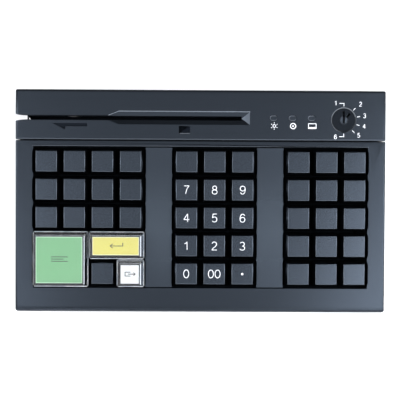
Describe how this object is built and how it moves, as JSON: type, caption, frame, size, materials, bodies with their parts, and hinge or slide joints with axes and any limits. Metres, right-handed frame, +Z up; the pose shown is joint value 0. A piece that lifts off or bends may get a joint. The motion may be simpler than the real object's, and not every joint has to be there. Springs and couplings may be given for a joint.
{
  "type": "point of sale keyboard",
  "caption": "Compact programmable point of sale keyboard with a card swipe slot and funnel, a turn lock, blank strips, a digit block and tall clear-covered legend keys.",
  "frame": {"origin": "centre of the overall width and depth, at the underside of the rubber feet", "axes": "+Z up, +X to the user's right, +Y to the rear, where the card reader is"},
  "size_m": [0.2536, 0.1512, 0.0407],
  "materials": {
    "housing": "satin, finely grained",
    "base": "matte, finely grained",
    "frame": "satin, finely grained",
    "key_cap": "satin, finely grained",
    "legend_base": "matte",
    "clear_cover": "clear polished acrylic",
    "light_pipe": "smoked, polished",
    "lock_black": "satin black",
    "lock_steel": "dark nickel",
    "steel": "ground",
    "silicone": "translucent grey",
    "board": "green solder mask",
    "feet": "matte"
  },
  "bodies": {
    "case": {"base_pan": "base", "top_case": "housing", "reader_cover": "housing", "key_frame": "frame", "indicator_windows": "light_pipe", "lock_barrel": "lock_black", "read_head": "steel", "dome_sheet": "silicone", "circuit_board": "board", "rubber_feet": "feet"},
    "lock": {"lock_plug": "lock_steel"},
    "green_key": {"green_key": "legend_base", "green_key_cover": "clear_cover"},
    "yellow_key": {"yellow_key": "legend_base", "yellow_key_cover": "clear_cover"},
    "white_key": {"white_key": "legend_base", "white_key_cover": "clear_cover"},
    "left_key_r1c1": {"left_key_r1c1": "key_cap"},
    "left_key_r1c2": {"left_key_r1c2": "key_cap"},
    "left_key_r1c3": {"left_key_r1c3": "key_cap"},
    "left_key_r1c4": {"left_key_r1c4": "key_cap"},
    "left_key_r2c1": {"left_key_r2c1": "key_cap"},
    "left_key_r2c2": {"left_key_r2c2": "key_cap"},
    "left_key_r2c3": {"left_key_r2c3": "key_cap"},
    "left_key_r2c4": {"left_key_r2c4": "key_cap"},
    "left_key_r3c1": {"left_key_r3c1": "key_cap"},
    "left_key_r3c2": {"left_key_r3c2": "key_cap"},
    "left_key_r3c3": {"left_key_r3c3": "key_cap"},
    "left_key_r3c4": {"left_key_r3c4": "key_cap"},
    "left_key_r5c3": {"left_key_r5c3": "key_cap"},
    "centre_key_r1c6": {"centre_key_r1c6": "key_cap"},
    "centre_key_r1c7": {"centre_key_r1c7": "key_cap"},
    "centre_key_r1c8": {"centre_key_r1c8": "key_cap"},
    "key_7": {"key_7": "key_cap"},
    "key_8": {"key_8": "key_cap"},
    "key_9": {"key_9": "key_cap"},
    "key_4": {"key_4": "key_cap"},
    "key_5": {"key_5": "key_cap"},
    "key_6": {"key_6": "key_cap"},
    "key_1": {"key_1": "key_cap"},
    "key_2": {"key_2": "key_cap"},
    "key_3": {"key_3": "key_cap"},
    "key_0": {"key_0": "key_cap"},
    "key_00": {"key_00": "key_cap"},
    "key_point": {"key_point": "key_cap"},
    "right_key_r1c10": {"right_key_r1c10": "key_cap"},
    "right_key_r1c11": {"right_key_r1c11": "key_cap"},
    "right_key_r1c12": {"right_key_r1c12": "key_cap"},
    "right_key_r2c10": {"right_key_r2c10": "key_cap"},
    "right_key_r2c11": {"right_key_r2c11": "key_cap"},
    "right_key_r2c12": {"right_key_r2c12": "key_cap"},
    "right_key_r3c10": {"right_key_r3c10": "key_cap"},
    "right_key_r3c11": {"right_key_r3c11": "key_cap"},
    "right_key_r3c12": {"right_key_r3c12": "key_cap"},
    "right_key_r4c10": {"right_key_r4c10": "key_cap"},
    "right_key_r4c11": {"right_key_r4c11": "key_cap"},
    "right_key_r4c12": {"right_key_r4c12": "key_cap"},
    "right_key_r5c10": {"right_key_r5c10": "key_cap"},
    "right_key_r5c11": {"right_key_r5c11": "key_cap"},
    "right_key_r5c12": {"right_key_r5c12": "key_cap"}
  },
  "joints": [
    {"name": "lock_turn", "type": "hinge", "parent": "case", "child": "lock", "pos_m": [0.09775, 0.05546, 0.03809], "axis": [0, 0.1219, -0.9925], "range_deg": [0, 180]},
    {"name": "green_key_press", "type": "slide", "parent": "case", "child": "green_key", "axis": [0, 0.1219, -0.9925], "range_m": [0, 0.0035], "stiffness_N_per_m": 300, "springref_m": -0.002, "deforming": ["dome_sheet"]},
    {"name": "yellow_key_press", "type": "slide", "parent": "case", "child": "yellow_key", "axis": [0, 0.1219, -0.9925], "range_m": [0, 0.0035], "stiffness_N_per_m": 200, "springref_m": -0.002, "deforming": ["dome_sheet"]},
    {"name": "white_key_press", "type": "slide", "parent": "case", "child": "white_key", "axis": [0, 0.1219, -0.9925], "range_m": [0, 0.0035], "stiffness_N_per_m": 150, "springref_m": -0.002, "deforming": ["dome_sheet"]},
    {"name": "left_key_r1c1_press", "type": "slide", "parent": "case", "child": "left_key_r1c1", "axis": [0, 0.1219, -0.9925], "range_m": [0, 0.0035], "stiffness_N_per_m": 150, "springref_m": -0.002, "deforming": ["dome_sheet"]},
    {"name": "left_key_r1c2_press", "type": "slide", "parent": "case", "child": "left_key_r1c2", "axis": [0, 0.1219, -0.9925], "range_m": [0, 0.0035], "stiffness_N_per_m": 150, "springref_m": -0.002, "deforming": ["dome_sheet"]},
    {"name": "left_key_r1c3_press", "type": "slide", "parent": "case", "child": "left_key_r1c3", "axis": [0, 0.1219, -0.9925], "range_m": [0, 0.0035], "stiffness_N_per_m": 150, "springref_m": -0.002, "deforming": ["dome_sheet"]},
    {"name": "left_key_r1c4_press", "type": "slide", "parent": "case", "child": "left_key_r1c4", "axis": [0, 0.1219, -0.9925], "range_m": [0, 0.0035], "stiffness_N_per_m": 150, "springref_m": -0.002, "deforming": ["dome_sheet"]},
    {"name": "left_key_r2c1_press", "type": "slide", "parent": "case", "child": "left_key_r2c1", "axis": [0, 0.1219, -0.9925], "range_m": [0, 0.0035], "stiffness_N_per_m": 150, "springref_m": -0.002, "deforming": ["dome_sheet"]},
    {"name": "left_key_r2c2_press", "type": "slide", "parent": "case", "child": "left_key_r2c2", "axis": [0, 0.1219, -0.9925], "range_m": [0, 0.0035], "stiffness_N_per_m": 150, "springref_m": -0.002, "deforming": ["dome_sheet"]},
    {"name": "left_key_r2c3_press", "type": "slide", "parent": "case", "child": "left_key_r2c3", "axis": [0, 0.1219, -0.9925], "range_m": [0, 0.0035], "stiffness_N_per_m": 150, "springref_m": -0.002, "deforming": ["dome_sheet"]},
    {"name": "left_key_r2c4_press", "type": "slide", "parent": "case", "child": "left_key_r2c4", "axis": [0, 0.1219, -0.9925], "range_m": [0, 0.0035], "stiffness_N_per_m": 150, "springref_m": -0.002, "deforming": ["dome_sheet"]},
    {"name": "left_key_r3c1_press", "type": "slide", "parent": "case", "child": "left_key_r3c1", "axis": [0, 0.1219, -0.9925], "range_m": [0, 0.0035], "stiffness_N_per_m": 150, "springref_m": -0.002, "deforming": ["dome_sheet"]},
    {"name": "left_key_r3c2_press", "type": "slide", "parent": "case", "child": "left_key_r3c2", "axis": [0, 0.1219, -0.9925], "range_m": [0, 0.0035], "stiffness_N_per_m": 150, "springref_m": -0.002, "deforming": ["dome_sheet"]},
    {"name": "left_key_r3c3_press", "type": "slide", "parent": "case", "child": "left_key_r3c3", "axis": [0, 0.1219, -0.9925], "range_m": [0, 0.0035], "stiffness_N_per_m": 150, "springref_m": -0.002, "deforming": ["dome_sheet"]},
    {"name": "left_key_r3c4_press", "type": "slide", "parent": "case", "child": "left_key_r3c4", "axis": [0, 0.1219, -0.9925], "range_m": [0, 0.0035], "stiffness_N_per_m": 150, "springref_m": -0.002, "deforming": ["dome_sheet"]},
    {"name": "left_key_r5c3_press", "type": "slide", "parent": "case", "child": "left_key_r5c3", "axis": [0, 0.1219, -0.9925], "range_m": [0, 0.0035], "stiffness_N_per_m": 150, "springref_m": -0.002, "deforming": ["dome_sheet"]},
    {"name": "centre_key_r1c6_press", "type": "slide", "parent": "case", "child": "centre_key_r1c6", "axis": [0, 0.1219, -0.9925], "range_m": [0, 0.0035], "stiffness_N_per_m": 150, "springref_m": -0.002, "deforming": ["dome_sheet"]},
    {"name": "centre_key_r1c7_press", "type": "slide", "parent": "case", "child": "centre_key_r1c7", "axis": [0, 0.1219, -0.9925], "range_m": [0, 0.0035], "stiffness_N_per_m": 150, "springref_m": -0.002, "deforming": ["dome_sheet"]},
    {"name": "centre_key_r1c8_press", "type": "slide", "parent": "case", "child": "centre_key_r1c8", "axis": [0, 0.1219, -0.9925], "range_m": [0, 0.0035], "stiffness_N_per_m": 150, "springref_m": -0.002, "deforming": ["dome_sheet"]},
    {"name": "key_7_press", "type": "slide", "parent": "case", "child": "key_7", "axis": [0, 0.1219, -0.9925], "range_m": [0, 0.0035], "stiffness_N_per_m": 150, "springref_m": -0.002, "deforming": ["dome_sheet"]},
    {"name": "key_8_press", "type": "slide", "parent": "case", "child": "key_8", "axis": [0, 0.1219, -0.9925], "range_m": [0, 0.0035], "stiffness_N_per_m": 150, "springref_m": -0.002, "deforming": ["dome_sheet"]},
    {"name": "key_9_press", "type": "slide", "parent": "case", "child": "key_9", "axis": [0, 0.1219, -0.9925], "range_m": [0, 0.0035], "stiffness_N_per_m": 150, "springref_m": -0.002, "deforming": ["dome_sheet"]},
    {"name": "key_4_press", "type": "slide", "parent": "case", "child": "key_4", "axis": [0, 0.1219, -0.9925], "range_m": [0, 0.0035], "stiffness_N_per_m": 150, "springref_m": -0.002, "deforming": ["dome_sheet"]},
    {"name": "key_5_press", "type": "slide", "parent": "case", "child": "key_5", "axis": [0, 0.1219, -0.9925], "range_m": [0, 0.0035], "stiffness_N_per_m": 150, "springref_m": -0.002, "deforming": ["dome_sheet"]},
    {"name": "key_6_press", "type": "slide", "parent": "case", "child": "key_6", "axis": [0, 0.1219, -0.9925], "range_m": [0, 0.0035], "stiffness_N_per_m": 150, "springref_m": -0.002, "deforming": ["dome_sheet"]},
    {"name": "key_1_press", "type": "slide", "parent": "case", "child": "key_1", "axis": [0, 0.1219, -0.9925], "range_m": [0, 0.0035], "stiffness_N_per_m": 150, "springref_m": -0.002, "deforming": ["dome_sheet"]},
    {"name": "key_2_press", "type": "slide", "parent": "case", "child": "key_2", "axis": [0, 0.1219, -0.9925], "range_m": [0, 0.0035], "stiffness_N_per_m": 150, "springref_m": -0.002, "deforming": ["dome_sheet"]},
    {"name": "key_3_press", "type": "slide", "parent": "case", "child": "key_3", "axis": [0, 0.1219, -0.9925], "range_m": [0, 0.0035], "stiffness_N_per_m": 150, "springref_m": -0.002, "deforming": ["dome_sheet"]},
    {"name": "key_0_press", "type": "slide", "parent": "case", "child": "key_0", "axis": [0, 0.1219, -0.9925], "range_m": [0, 0.0035], "stiffness_N_per_m": 150, "springref_m": -0.002, "deforming": ["dome_sheet"]},
    {"name": "key_00_press", "type": "slide", "parent": "case", "child": "key_00", "axis": [0, 0.1219, -0.9925], "range_m": [0, 0.0035], "stiffness_N_per_m": 150, "springref_m": -0.002, "deforming": ["dome_sheet"]},
    {"name": "key_point_press", "type": "slide", "parent": "case", "child": "key_point", "axis": [0, 0.1219, -0.9925], "range_m": [0, 0.0035], "stiffness_N_per_m": 150, "springref_m": -0.002, "deforming": ["dome_sheet"]},
    {"name": "right_key_r1c10_press", "type": "slide", "parent": "case", "child": "right_key_r1c10", "axis": [0, 0.1219, -0.9925], "range_m": [0, 0.0035], "stiffness_N_per_m": 150, "springref_m": -0.002, "deforming": ["dome_sheet"]},
    {"name": "right_key_r1c11_press", "type": "slide", "parent": "case", "child": "right_key_r1c11", "axis": [0, 0.1219, -0.9925], "range_m": [0, 0.0035], "stiffness_N_per_m": 150, "springref_m": -0.002, "deforming": ["dome_sheet"]},
    {"name": "right_key_r1c12_press", "type": "slide", "parent": "case", "child": "right_key_r1c12", "axis": [0, 0.1219, -0.9925], "range_m": [0, 0.0035], "stiffness_N_per_m": 150, "springref_m": -0.002, "deforming": ["dome_sheet"]},
    {"name": "right_key_r2c10_press", "type": "slide", "parent": "case", "child": "right_key_r2c10", "axis": [0, 0.1219, -0.9925], "range_m": [0, 0.0035], "stiffness_N_per_m": 150, "springref_m": -0.002, "deforming": ["dome_sheet"]},
    {"name": "right_key_r2c11_press", "type": "slide", "parent": "case", "child": "right_key_r2c11", "axis": [0, 0.1219, -0.9925], "range_m": [0, 0.0035], "stiffness_N_per_m": 150, "springref_m": -0.002, "deforming": ["dome_sheet"]},
    {"name": "right_key_r2c12_press", "type": "slide", "parent": "case", "child": "right_key_r2c12", "axis": [0, 0.1219, -0.9925], "range_m": [0, 0.0035], "stiffness_N_per_m": 150, "springref_m": -0.002, "deforming": ["dome_sheet"]},
    {"name": "right_key_r3c10_press", "type": "slide", "parent": "case", "child": "right_key_r3c10", "axis": [0, 0.1219, -0.9925], "range_m": [0, 0.0035], "stiffness_N_per_m": 150, "springref_m": -0.002, "deforming": ["dome_sheet"]},
    {"name": "right_key_r3c11_press", "type": "slide", "parent": "case", "child": "right_key_r3c11", "axis": [0, 0.1219, -0.9925], "range_m": [0, 0.0035], "stiffness_N_per_m": 150, "springref_m": -0.002, "deforming": ["dome_sheet"]},
    {"name": "right_key_r3c12_press", "type": "slide", "parent": "case", "child": "right_key_r3c12", "axis": [0, 0.1219, -0.9925], "range_m": [0, 0.0035], "stiffness_N_per_m": 150, "springref_m": -0.002, "deforming": ["dome_sheet"]},
    {"name": "right_key_r4c10_press", "type": "slide", "parent": "case", "child": "right_key_r4c10", "axis": [0, 0.1219, -0.9925], "range_m": [0, 0.0035], "stiffness_N_per_m": 150, "springref_m": -0.002, "deforming": ["dome_sheet"]},
    {"name": "right_key_r4c11_press", "type": "slide", "parent": "case", "child": "right_key_r4c11", "axis": [0, 0.1219, -0.9925], "range_m": [0, 0.0035], "stiffness_N_per_m": 150, "springref_m": -0.002, "deforming": ["dome_sheet"]},
    {"name": "right_key_r4c12_press", "type": "slide", "parent": "case", "child": "right_key_r4c12", "axis": [0, 0.1219, -0.9925], "range_m": [0, 0.0035], "stiffness_N_per_m": 150, "springref_m": -0.002, "deforming": ["dome_sheet"]},
    {"name": "right_key_r5c10_press", "type": "slide", "parent": "case", "child": "right_key_r5c10", "axis": [0, 0.1219, -0.9925], "range_m": [0, 0.0035], "stiffness_N_per_m": 150, "springref_m": -0.002, "deforming": ["dome_sheet"]},
    {"name": "right_key_r5c11_press", "type": "slide", "parent": "case", "child": "right_key_r5c11", "axis": [0, 0.1219, -0.9925], "range_m": [0, 0.0035], "stiffness_N_per_m": 150, "springref_m": -0.002, "deforming": ["dome_sheet"]},
    {"name": "right_key_r5c12_press", "type": "slide", "parent": "case", "child": "right_key_r5c12", "axis": [0, 0.1219, -0.9925], "range_m": [0, 0.0035], "stiffness_N_per_m": 150, "springref_m": -0.002, "deforming": ["dome_sheet"]}
  ]
}
